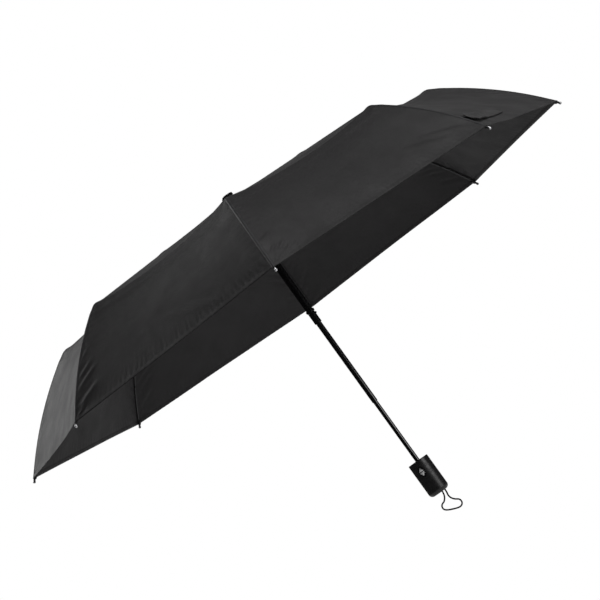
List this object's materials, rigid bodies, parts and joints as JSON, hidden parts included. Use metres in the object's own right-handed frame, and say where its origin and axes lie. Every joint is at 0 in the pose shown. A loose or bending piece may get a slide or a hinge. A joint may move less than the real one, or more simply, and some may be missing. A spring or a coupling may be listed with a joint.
{
  "type": "folding umbrella",
  "caption": "Open black folding umbrella with a telescopic shaft, jointed fold-back ribs, push-button handle and wrist cord.",
  "frame": {"origin": "on the shaft axis, in the middle of the plain round grip below the push button", "axes": "+Z along the shaft towards the canopy; -Y is the side that the front rib points to, and the push button faces it"},
  "size_m": [0.9696, 0.9696, 0.5805],
  "materials": {
    "black_canopy_fabric": "fine matt weave",
    "black_tube": "gloss paint",
    "black_plastic": "matt moulded",
    "gloss_black_plastic": "gloss moulded",
    "handle_coating": "soft matt coating",
    "black_rib_steel": "satin black paint",
    "rib_aluminium": "satin black",
    "spring_wire": "drawn wire",
    "rib_fibre": "resin rod with a bright tip",
    "black_cord": "braided"
  },
  "bodies": {
    "handle": {"handle_shell": "handle_coating", "handle_end_cap": "handle_coating", "lower_tube": "black_tube", "wrist_cord": "black_cord"},
    "push_button": {"push_button": "gloss_black_plastic"},
    "middle_tube": {"middle_tube": "black_tube"},
    "top_tube": {"top_tube": "black_tube", "crown": "black_plastic", "top_cap": "gloss_black_plastic", "canopy": "black_canopy_fabric", "tie_strap": "black_canopy_fabric"},
    "runner": {"runner": "black_plastic"},
    "inner_rib_1": {"inner_rib_1": "black_rib_steel"},
    "inner_rib_2": {"inner_rib_2": "black_rib_steel"},
    "inner_rib_3": {"inner_rib_3": "black_rib_steel"},
    "inner_rib_4": {"inner_rib_4": "black_rib_steel"},
    "inner_rib_5": {"inner_rib_5": "black_rib_steel"},
    "inner_rib_6": {"inner_rib_6": "black_rib_steel"},
    "inner_rib_7": {"inner_rib_7": "black_rib_steel"},
    "inner_rib_8": {"inner_rib_8": "black_rib_steel"},
    "strut_1": {"strut_1": "black_rib_steel"},
    "strut_2": {"strut_2": "black_rib_steel"},
    "strut_3": {"strut_3": "black_rib_steel"},
    "strut_4": {"strut_4": "black_rib_steel"},
    "strut_5": {"strut_5": "black_rib_steel"},
    "strut_6": {"strut_6": "black_rib_steel"},
    "strut_7": {"strut_7": "black_rib_steel"},
    "strut_8": {"strut_8": "black_rib_steel"},
    "inner_link_1": {"inner_link_1": "black_rib_steel"},
    "inner_link_2": {"inner_link_2": "black_rib_steel"},
    "inner_link_3": {"inner_link_3": "black_rib_steel"},
    "inner_link_4": {"inner_link_4": "black_rib_steel"},
    "inner_link_5": {"inner_link_5": "black_rib_steel"},
    "inner_link_6": {"inner_link_6": "black_rib_steel"},
    "inner_link_7": {"inner_link_7": "black_rib_steel"},
    "inner_link_8": {"inner_link_8": "black_rib_steel"},
    "middle_rib_1": {"middle_rib_1": "rib_aluminium"},
    "middle_rib_2": {"middle_rib_2": "rib_aluminium"},
    "middle_rib_3": {"middle_rib_3": "rib_aluminium"},
    "middle_rib_4": {"middle_rib_4": "rib_aluminium"},
    "middle_rib_5": {"middle_rib_5": "rib_aluminium"},
    "middle_rib_6": {"middle_rib_6": "rib_aluminium"},
    "middle_rib_7": {"middle_rib_7": "rib_aluminium"},
    "middle_rib_8": {"middle_rib_8": "rib_aluminium"},
    "outer_link_1": {"outer_link_1": "spring_wire"},
    "outer_link_2": {"outer_link_2": "spring_wire"},
    "outer_link_3": {"outer_link_3": "spring_wire"},
    "outer_link_4": {"outer_link_4": "spring_wire"},
    "outer_link_5": {"outer_link_5": "spring_wire"},
    "outer_link_6": {"outer_link_6": "spring_wire"},
    "outer_link_7": {"outer_link_7": "spring_wire"},
    "outer_link_8": {"outer_link_8": "spring_wire"},
    "outer_rib_1": {"outer_rib_1": "rib_fibre"},
    "outer_rib_2": {"outer_rib_2": "rib_fibre"},
    "outer_rib_3": {"outer_rib_3": "rib_fibre"},
    "outer_rib_4": {"outer_rib_4": "rib_fibre"},
    "outer_rib_5": {"outer_rib_5": "rib_fibre"},
    "outer_rib_6": {"outer_rib_6": "rib_fibre"},
    "outer_rib_7": {"outer_rib_7": "rib_fibre"},
    "outer_rib_8": {"outer_rib_8": "rib_fibre"}
  },
  "joints": [
    {"name": "button_press", "type": "slide", "parent": "handle", "child": "push_button", "axis": [0.2756, 0.9613, 0], "range_m": [0, 0.002], "stiffness_N_per_m": 1500, "springref_m": -0.001},
    {"name": "middle_tube_slide", "type": "slide", "parent": "handle", "child": "middle_tube", "axis": [0, 0, -1], "range_m": [0, 0.1055]},
    {"name": "top_tube_slide", "type": "slide", "parent": "middle_tube", "child": "top_tube", "axis": [0, 0, -1], "range_m": [0, 0.142]},
    {"name": "runner_slide", "type": "slide", "parent": "top_tube", "child": "runner", "axis": [0, 0, -1], "range_m": [0, 0.10475], "deforming": ["canopy", "tie_strap"]},
    {"name": "inner_rib_1_hinge", "type": "hinge", "parent": "top_tube", "child": "inner_rib_1", "pos_m": [0, -0.009, 0.5113], "axis": [1, 0, 0], "range_deg": [0, 80.25]},
    {"name": "inner_rib_2_hinge", "type": "hinge", "parent": "top_tube", "child": "inner_rib_2", "pos_m": [-0.00636, -0.00636, 0.5113], "axis": [0.7071, -0.7071, 0], "range_deg": [0, 80.25]},
    {"name": "inner_rib_3_hinge", "type": "hinge", "parent": "top_tube", "child": "inner_rib_3", "pos_m": [-0.009, 0, 0.5113], "axis": [0, -1, 0], "range_deg": [0, 80.25]},
    {"name": "inner_rib_4_hinge", "type": "hinge", "parent": "top_tube", "child": "inner_rib_4", "pos_m": [-0.00636, 0.00636, 0.5113], "axis": [-0.7071, -0.7071, 0], "range_deg": [0, 80.25]},
    {"name": "inner_rib_5_hinge", "type": "hinge", "parent": "top_tube", "child": "inner_rib_5", "pos_m": [0, 0.009, 0.5113], "axis": [-1, 0, 0], "range_deg": [0, 80.25]},
    {"name": "inner_rib_6_hinge", "type": "hinge", "parent": "top_tube", "child": "inner_rib_6", "pos_m": [0.00636, 0.00636, 0.5113], "axis": [-0.7071, 0.7071, 0], "range_deg": [0, 80.25]},
    {"name": "inner_rib_7_hinge", "type": "hinge", "parent": "top_tube", "child": "inner_rib_7", "pos_m": [0.009, 0, 0.5113], "axis": [0, 1, 0], "range_deg": [0, 80.25]},
    {"name": "inner_rib_8_hinge", "type": "hinge", "parent": "top_tube", "child": "inner_rib_8", "pos_m": [0.00636, -0.00636, 0.5113], "axis": [0.7071, 0.7071, 0], "range_deg": [0, 80.25]},
    {"name": "strut_1_hinge", "type": "hinge", "parent": "inner_rib_1", "child": "strut_1", "pos_m": [0, -0.08828, 0.50054], "axis": [-1, 0, 0], "range_deg": [0, 127.56]},
    {"name": "strut_2_hinge", "type": "hinge", "parent": "inner_rib_2", "child": "strut_2", "pos_m": [-0.06243, -0.06243, 0.50054], "axis": [-0.7071, 0.7071, 0], "range_deg": [0, 127.56]},
    {"name": "strut_3_hinge", "type": "hinge", "parent": "inner_rib_3", "child": "strut_3", "pos_m": [-0.08828, 0, 0.50054], "axis": [0, 1, 0], "range_deg": [0, 127.56]},
    {"name": "strut_4_hinge", "type": "hinge", "parent": "inner_rib_4", "child": "strut_4", "pos_m": [-0.06243, 0.06243, 0.50054], "axis": [0.7071, 0.7071, 0], "range_deg": [0, 127.56]},
    {"name": "strut_5_hinge", "type": "hinge", "parent": "inner_rib_5", "child": "strut_5", "pos_m": [0, 0.08828, 0.50054], "axis": [1, 0, 0], "range_deg": [0, 127.56]},
    {"name": "strut_6_hinge", "type": "hinge", "parent": "inner_rib_6", "child": "strut_6", "pos_m": [0.06243, 0.06243, 0.50054], "axis": [0.7071, -0.7071, 0], "range_deg": [0, 127.56]},
    {"name": "strut_7_hinge", "type": "hinge", "parent": "inner_rib_7", "child": "strut_7", "pos_m": [0.08828, 0, 0.50054], "axis": [0, -1, 0], "range_deg": [0, 127.56]},
    {"name": "strut_8_hinge", "type": "hinge", "parent": "inner_rib_8", "child": "strut_8", "pos_m": [0.06243, -0.06243, 0.50054], "axis": [-0.7071, -0.7071, 0], "range_deg": [0, 127.56]},
    {"name": "inner_link_1_hinge", "type": "hinge", "parent": "strut_1", "child": "inner_link_1", "pos_m": [0, -0.07791, 0.49688], "axis": [1, 0, 0], "range_deg": [0, 127.56]},
    {"name": "inner_link_2_hinge", "type": "hinge", "parent": "strut_2", "child": "inner_link_2", "pos_m": [-0.05509, -0.05509, 0.49688], "axis": [0.7071, -0.7071, 0], "range_deg": [0, 127.56]},
    {"name": "inner_link_3_hinge", "type": "hinge", "parent": "strut_3", "child": "inner_link_3", "pos_m": [-0.07791, 0, 0.49688], "axis": [0, -1, 0], "range_deg": [0, 127.56]},
    {"name": "inner_link_4_hinge", "type": "hinge", "parent": "strut_4", "child": "inner_link_4", "pos_m": [-0.05509, 0.05509, 0.49688], "axis": [-0.7071, -0.7071, 0], "range_deg": [0, 127.56]},
    {"name": "inner_link_5_hinge", "type": "hinge", "parent": "strut_5", "child": "inner_link_5", "pos_m": [0, 0.07791, 0.49688], "axis": [-1, 0, 0], "range_deg": [0, 127.56]},
    {"name": "inner_link_6_hinge", "type": "hinge", "parent": "strut_6", "child": "inner_link_6", "pos_m": [0.05509, 0.05509, 0.49688], "axis": [-0.7071, 0.7071, 0], "range_deg": [0, 127.56]},
    {"name": "inner_link_7_hinge", "type": "hinge", "parent": "strut_7", "child": "inner_link_7", "pos_m": [0.07791, 0, 0.49688], "axis": [0, 1, 0], "range_deg": [0, 127.56]},
    {"name": "inner_link_8_hinge", "type": "hinge", "parent": "strut_8", "child": "inner_link_8", "pos_m": [0.05509, -0.05509, 0.49688], "axis": [0.7071, 0.7071, 0], "range_deg": [0, 127.56]},
    {"name": "middle_rib_1_hinge", "type": "hinge", "parent": "inner_rib_1", "child": "middle_rib_1", "pos_m": [0, -0.17284, 0.49176], "axis": [-1, 0, 0], "range_deg": [0, 174.05]},
    {"name": "middle_rib_2_hinge", "type": "hinge", "parent": "inner_rib_2", "child": "middle_rib_2", "pos_m": [-0.12222, -0.12222, 0.49176], "axis": [-0.7071, 0.7071, 0], "range_deg": [0, 174.05]},
    {"name": "middle_rib_3_hinge", "type": "hinge", "parent": "inner_rib_3", "child": "middle_rib_3", "pos_m": [-0.17284, 0, 0.49176], "axis": [0, 1, 0], "range_deg": [0, 174.05]},
    {"name": "middle_rib_4_hinge", "type": "hinge", "parent": "inner_rib_4", "child": "middle_rib_4", "pos_m": [-0.12222, 0.12222, 0.49176], "axis": [0.7071, 0.7071, 0], "range_deg": [0, 174.05]},
    {"name": "middle_rib_5_hinge", "type": "hinge", "parent": "inner_rib_5", "child": "middle_rib_5", "pos_m": [0, 0.17284, 0.49176], "axis": [1, 0, 0], "range_deg": [0, 174.05]},
    {"name": "middle_rib_6_hinge", "type": "hinge", "parent": "inner_rib_6", "child": "middle_rib_6", "pos_m": [0.12222, 0.12222, 0.49176], "axis": [0.7071, -0.7071, 0], "range_deg": [0, 174.05]},
    {"name": "middle_rib_7_hinge", "type": "hinge", "parent": "inner_rib_7", "child": "middle_rib_7", "pos_m": [0.17284, 0, 0.49176], "axis": [0, -1, 0], "range_deg": [0, 174.05]},
    {"name": "middle_rib_8_hinge", "type": "hinge", "parent": "inner_rib_8", "child": "middle_rib_8", "pos_m": [0.12222, -0.12222, 0.49176], "axis": [-0.7071, -0.7071, 0], "range_deg": [0, 174.05]},
    {"name": "outer_link_1_hinge", "type": "hinge", "parent": "inner_rib_1", "child": "outer_link_1", "pos_m": [0, -0.18269, 0.49006], "axis": [-1, 0, 0], "range_deg": [0, 174.05]},
    {"name": "outer_link_2_hinge", "type": "hinge", "parent": "inner_rib_2", "child": "outer_link_2", "pos_m": [-0.12918, -0.12918, 0.49006], "axis": [-0.7071, 0.7071, 0], "range_deg": [0, 174.05]},
    {"name": "outer_link_3_hinge", "type": "hinge", "parent": "inner_rib_3", "child": "outer_link_3", "pos_m": [-0.18269, 0, 0.49006], "axis": [0, 1, 0], "range_deg": [0, 174.05]},
    {"name": "outer_link_4_hinge", "type": "hinge", "parent": "inner_rib_4", "child": "outer_link_4", "pos_m": [-0.12918, 0.12918, 0.49006], "axis": [0.7071, 0.7071, 0], "range_deg": [0, 174.05]},
    {"name": "outer_link_5_hinge", "type": "hinge", "parent": "inner_rib_5", "child": "outer_link_5", "pos_m": [0, 0.18269, 0.49006], "axis": [1, 0, 0], "range_deg": [0, 174.05]},
    {"name": "outer_link_6_hinge", "type": "hinge", "parent": "inner_rib_6", "child": "outer_link_6", "pos_m": [0.12918, 0.12918, 0.49006], "axis": [0.7071, -0.7071, 0], "range_deg": [0, 174.05]},
    {"name": "outer_link_7_hinge", "type": "hinge", "parent": "inner_rib_7", "child": "outer_link_7", "pos_m": [0.18269, 0, 0.49006], "axis": [0, -1, 0], "range_deg": [0, 174.05]},
    {"name": "outer_link_8_hinge", "type": "hinge", "parent": "inner_rib_8", "child": "outer_link_8", "pos_m": [0.12918, -0.12918, 0.49006], "axis": [-0.7071, -0.7071, 0], "range_deg": [0, 174.05]},
    {"name": "outer_rib_1_hinge", "type": "hinge", "parent": "middle_rib_1", "child": "outer_rib_1", "pos_m": [0, -0.33171, 0.47282], "axis": [1, 0, 0], "range_deg": [0, 143.05]},
    {"name": "outer_rib_2_hinge", "type": "hinge", "parent": "middle_rib_2", "child": "outer_rib_2", "pos_m": [-0.23456, -0.23456, 0.47282], "axis": [0.7071, -0.7071, 0], "range_deg": [0, 143.05]},
    {"name": "outer_rib_3_hinge", "type": "hinge", "parent": "middle_rib_3", "child": "outer_rib_3", "pos_m": [-0.33171, 0, 0.47282], "axis": [0, -1, 0], "range_deg": [0, 143.05]},
    {"name": "outer_rib_4_hinge", "type": "hinge", "parent": "middle_rib_4", "child": "outer_rib_4", "pos_m": [-0.23456, 0.23456, 0.47282], "axis": [-0.7071, -0.7071, 0], "range_deg": [0, 143.05]},
    {"name": "outer_rib_5_hinge", "type": "hinge", "parent": "middle_rib_5", "child": "outer_rib_5", "pos_m": [0, 0.33171, 0.47282], "axis": [-1, 0, 0], "range_deg": [0, 143.05]},
    {"name": "outer_rib_6_hinge", "type": "hinge", "parent": "middle_rib_6", "child": "outer_rib_6", "pos_m": [0.23456, 0.23456, 0.47282], "axis": [-0.7071, 0.7071, 0], "range_deg": [0, 143.05]},
    {"name": "outer_rib_7_hinge", "type": "hinge", "parent": "middle_rib_7", "child": "outer_rib_7", "pos_m": [0.33171, 0, 0.47282], "axis": [0, 1, 0], "range_deg": [0, 143.05]},
    {"name": "outer_rib_8_hinge", "type": "hinge", "parent": "middle_rib_8", "child": "outer_rib_8", "pos_m": [0.23456, -0.23456, 0.47282], "axis": [0.7071, 0.7071, 0], "range_deg": [0, 143.05]}
  ],
  "couplings": [
    {"joint": "inner_rib_1_hinge", "follows": "runner_slide", "rad_per_m": 13.362},
    {"joint": "inner_rib_2_hinge", "follows": "runner_slide", "rad_per_m": 13.362},
    {"joint": "inner_rib_3_hinge", "follows": "runner_slide", "rad_per_m": 13.362},
    {"joint": "inner_rib_4_hinge", "follows": "runner_slide", "rad_per_m": 13.362},
    {"joint": "inner_rib_5_hinge", "follows": "runner_slide", "rad_per_m": 13.362},
    {"joint": "inner_rib_6_hinge", "follows": "runner_slide", "rad_per_m": 13.362},
    {"joint": "inner_rib_7_hinge", "follows": "runner_slide", "rad_per_m": 13.362},
    {"joint": "inner_rib_8_hinge", "follows": "runner_slide", "rad_per_m": 13.362},
    {"joint": "strut_1_hinge", "follows": "runner_slide", "rad_per_m": 21.245},
    {"joint": "strut_2_hinge", "follows": "runner_slide", "rad_per_m": 21.245},
    {"joint": "strut_3_hinge", "follows": "runner_slide", "rad_per_m": 21.245},
    {"joint": "strut_4_hinge", "follows": "runner_slide", "rad_per_m": 21.245},
    {"joint": "strut_5_hinge", "follows": "runner_slide", "rad_per_m": 21.245},
    {"joint": "strut_6_hinge", "follows": "runner_slide", "rad_per_m": 21.245},
    {"joint": "strut_7_hinge", "follows": "runner_slide", "rad_per_m": 21.245},
    {"joint": "strut_8_hinge", "follows": "runner_slide", "rad_per_m": 21.245},
    {"joint": "inner_link_1_hinge", "follows": "runner_slide", "rad_per_m": 21.245},
    {"joint": "inner_link_2_hinge", "follows": "runner_slide", "rad_per_m": 21.245},
    {"joint": "inner_link_3_hinge", "follows": "runner_slide", "rad_per_m": 21.245},
    {"joint": "inner_link_4_hinge", "follows": "runner_slide", "rad_per_m": 21.245},
    {"joint": "inner_link_5_hinge", "follows": "runner_slide", "rad_per_m": 21.245},
    {"joint": "inner_link_6_hinge", "follows": "runner_slide", "rad_per_m": 21.245},
    {"joint": "inner_link_7_hinge", "follows": "runner_slide", "rad_per_m": 21.245},
    {"joint": "inner_link_8_hinge", "follows": "runner_slide", "rad_per_m": 21.245},
    {"joint": "middle_rib_1_hinge", "follows": "runner_slide", "rad_per_m": 28.99},
    {"joint": "middle_rib_2_hinge", "follows": "runner_slide", "rad_per_m": 28.99},
    {"joint": "middle_rib_3_hinge", "follows": "runner_slide", "rad_per_m": 28.99},
    {"joint": "middle_rib_4_hinge", "follows": "runner_slide", "rad_per_m": 28.99},
    {"joint": "middle_rib_5_hinge", "follows": "runner_slide", "rad_per_m": 28.99},
    {"joint": "middle_rib_6_hinge", "follows": "runner_slide", "rad_per_m": 28.99},
    {"joint": "middle_rib_7_hinge", "follows": "runner_slide", "rad_per_m": 28.99},
    {"joint": "middle_rib_8_hinge", "follows": "runner_slide", "rad_per_m": 28.99},
    {"joint": "outer_link_1_hinge", "follows": "runner_slide", "rad_per_m": 28.99},
    {"joint": "outer_link_2_hinge", "follows": "runner_slide", "rad_per_m": 28.99},
    {"joint": "outer_link_3_hinge", "follows": "runner_slide", "rad_per_m": 28.99},
    {"joint": "outer_link_4_hinge", "follows": "runner_slide", "rad_per_m": 28.99},
    {"joint": "outer_link_5_hinge", "follows": "runner_slide", "rad_per_m": 28.99},
    {"joint": "outer_link_6_hinge", "follows": "runner_slide", "rad_per_m": 28.99},
    {"joint": "outer_link_7_hinge", "follows": "runner_slide", "rad_per_m": 28.99},
    {"joint": "outer_link_8_hinge", "follows": "runner_slide", "rad_per_m": 28.99},
    {"joint": "outer_rib_1_hinge", "follows": "runner_slide", "rad_per_m": 23.825},
    {"joint": "outer_rib_2_hinge", "follows": "runner_slide", "rad_per_m": 23.825},
    {"joint": "outer_rib_3_hinge", "follows": "runner_slide", "rad_per_m": 23.825},
    {"joint": "outer_rib_4_hinge", "follows": "runner_slide", "rad_per_m": 23.825},
    {"joint": "outer_rib_5_hinge", "follows": "runner_slide", "rad_per_m": 23.825},
    {"joint": "outer_rib_6_hinge", "follows": "runner_slide", "rad_per_m": 23.825},
    {"joint": "outer_rib_7_hinge", "follows": "runner_slide", "rad_per_m": 23.825},
    {"joint": "outer_rib_8_hinge", "follows": "runner_slide", "rad_per_m": 23.825}
  ]
}
